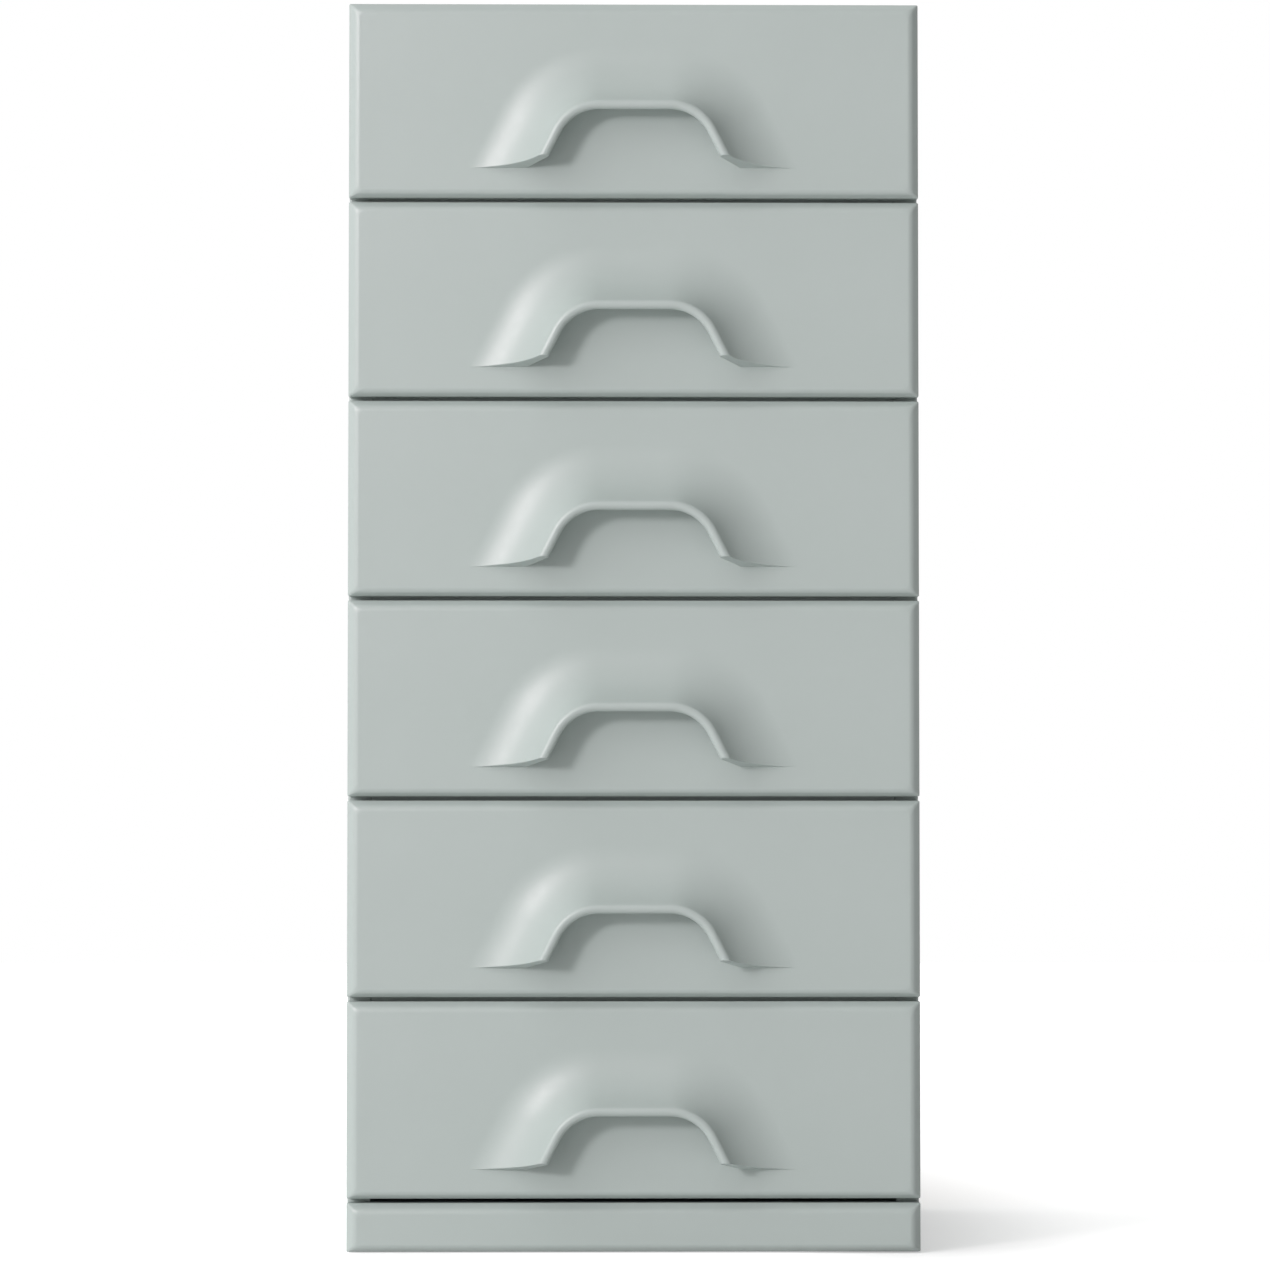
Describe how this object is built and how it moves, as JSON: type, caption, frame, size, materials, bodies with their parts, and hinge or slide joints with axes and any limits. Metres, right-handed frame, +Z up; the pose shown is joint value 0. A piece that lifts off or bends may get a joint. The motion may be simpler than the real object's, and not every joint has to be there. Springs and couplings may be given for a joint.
{
  "type": "chest of drawers",
  "caption": "Narrow floor-standing chest of full-overlay drawers on telescopic slides, each bevelled front with a moulded flared arch grip, over a bevelled plinth.",
  "frame": {"origin": "on the floor, under the middle of the whole chest's bounding box (grips included)", "axes": "+X to the viewer's right, +Z up; the drawer fronts face -Y and the drawers open along -Y"},
  "size_m": [0.4, 0.468, 0.875],
  "materials": {
    "lacquer": "satin grey-green lacquer on fibreboard",
    "box_wood": "clear satin varnish on pale plywood",
    "hardboard": "smooth unpainted hardboard",
    "slide_steel": "zinc-plated",
    "felt": "pressed dark grey felt"
  },
  "bodies": {
    "carcass": {"left_side_panel": "lacquer", "right_side_panel": "lacquer", "top_panel": "lacquer", "bottom_panel": "lacquer", "back_panel": "hardboard", "plinth_front": "lacquer", "plinth_back_rail": "box_wood", "plinth_blocks": "box_wood", "floor_glides": "felt", "divider_rail_1": "lacquer", "divider_rail_2": "lacquer", "divider_rail_3": "lacquer", "divider_rail_4": "lacquer", "divider_rail_5": "lacquer", "left_cabinet_slides": "slide_steel", "right_cabinet_slides": "slide_steel"},
    "drawer_1": {"drawer_1_front": "lacquer", "drawer_1_left_side": "box_wood", "drawer_1_right_side": "box_wood", "drawer_1_back": "box_wood", "drawer_1_bottom": "hardboard", "drawer_1_slides": "slide_steel"},
    "mid_slides_1": {"drawer_1_mid_slides": "slide_steel"},
    "drawer_2": {"drawer_2_front": "lacquer", "drawer_2_left_side": "box_wood", "drawer_2_right_side": "box_wood", "drawer_2_back": "box_wood", "drawer_2_bottom": "hardboard", "drawer_2_slides": "slide_steel"},
    "mid_slides_2": {"drawer_2_mid_slides": "slide_steel"},
    "drawer_3": {"drawer_3_front": "lacquer", "drawer_3_left_side": "box_wood", "drawer_3_right_side": "box_wood", "drawer_3_back": "box_wood", "drawer_3_bottom": "hardboard", "drawer_3_slides": "slide_steel"},
    "mid_slides_3": {"drawer_3_mid_slides": "slide_steel"},
    "drawer_4": {"drawer_4_front": "lacquer", "drawer_4_left_side": "box_wood", "drawer_4_right_side": "box_wood", "drawer_4_back": "box_wood", "drawer_4_bottom": "hardboard", "drawer_4_slides": "slide_steel"},
    "mid_slides_4": {"drawer_4_mid_slides": "slide_steel"},
    "drawer_5": {"drawer_5_front": "lacquer", "drawer_5_left_side": "box_wood", "drawer_5_right_side": "box_wood", "drawer_5_back": "box_wood", "drawer_5_bottom": "hardboard", "drawer_5_slides": "slide_steel"},
    "mid_slides_5": {"drawer_5_mid_slides": "slide_steel"},
    "drawer_6": {"drawer_6_front": "lacquer", "drawer_6_left_side": "box_wood", "drawer_6_right_side": "box_wood", "drawer_6_back": "box_wood", "drawer_6_bottom": "hardboard", "drawer_6_slides": "slide_steel"},
    "mid_slides_6": {"drawer_6_mid_slides": "slide_steel"}
  },
  "joints": [
    {"name": "drawer_1_slide", "type": "slide", "parent": "carcass", "child": "drawer_1", "axis": [0, -1, 0], "range_m": [0, 0.4]},
    {"name": "mid_slides_1_slide", "type": "slide", "parent": "carcass", "child": "mid_slides_1", "axis": [0, -1, 0], "range_m": [0, 0.2]},
    {"name": "drawer_2_slide", "type": "slide", "parent": "carcass", "child": "drawer_2", "axis": [0, -1, 0], "range_m": [0, 0.4]},
    {"name": "mid_slides_2_slide", "type": "slide", "parent": "carcass", "child": "mid_slides_2", "axis": [0, -1, 0], "range_m": [0, 0.2]},
    {"name": "drawer_3_slide", "type": "slide", "parent": "carcass", "child": "drawer_3", "axis": [0, -1, 0], "range_m": [0, 0.4]},
    {"name": "mid_slides_3_slide", "type": "slide", "parent": "carcass", "child": "mid_slides_3", "axis": [0, -1, 0], "range_m": [0, 0.2]},
    {"name": "drawer_4_slide", "type": "slide", "parent": "carcass", "child": "drawer_4", "axis": [0, -1, 0], "range_m": [0, 0.4]},
    {"name": "mid_slides_4_slide", "type": "slide", "parent": "carcass", "child": "mid_slides_4", "axis": [0, -1, 0], "range_m": [0, 0.2]},
    {"name": "drawer_5_slide", "type": "slide", "parent": "carcass", "child": "drawer_5", "axis": [0, -1, 0], "range_m": [0, 0.4]},
    {"name": "mid_slides_5_slide", "type": "slide", "parent": "carcass", "child": "mid_slides_5", "axis": [0, -1, 0], "range_m": [0, 0.2]},
    {"name": "drawer_6_slide", "type": "slide", "parent": "carcass", "child": "drawer_6", "axis": [0, -1, 0], "range_m": [0, 0.4]},
    {"name": "mid_slides_6_slide", "type": "slide", "parent": "carcass", "child": "mid_slides_6", "axis": [0, -1, 0], "range_m": [0, 0.2]}
  ],
  "couplings": [
    {"joint": "mid_slides_1_slide", "follows": "drawer_1_slide", "ratio": 0.5},
    {"joint": "mid_slides_2_slide", "follows": "drawer_2_slide", "ratio": 0.5},
    {"joint": "mid_slides_3_slide", "follows": "drawer_3_slide", "ratio": 0.5},
    {"joint": "mid_slides_4_slide", "follows": "drawer_4_slide", "ratio": 0.5},
    {"joint": "mid_slides_5_slide", "follows": "drawer_5_slide", "ratio": 0.5},
    {"joint": "mid_slides_6_slide", "follows": "drawer_6_slide", "ratio": 0.5}
  ]
}
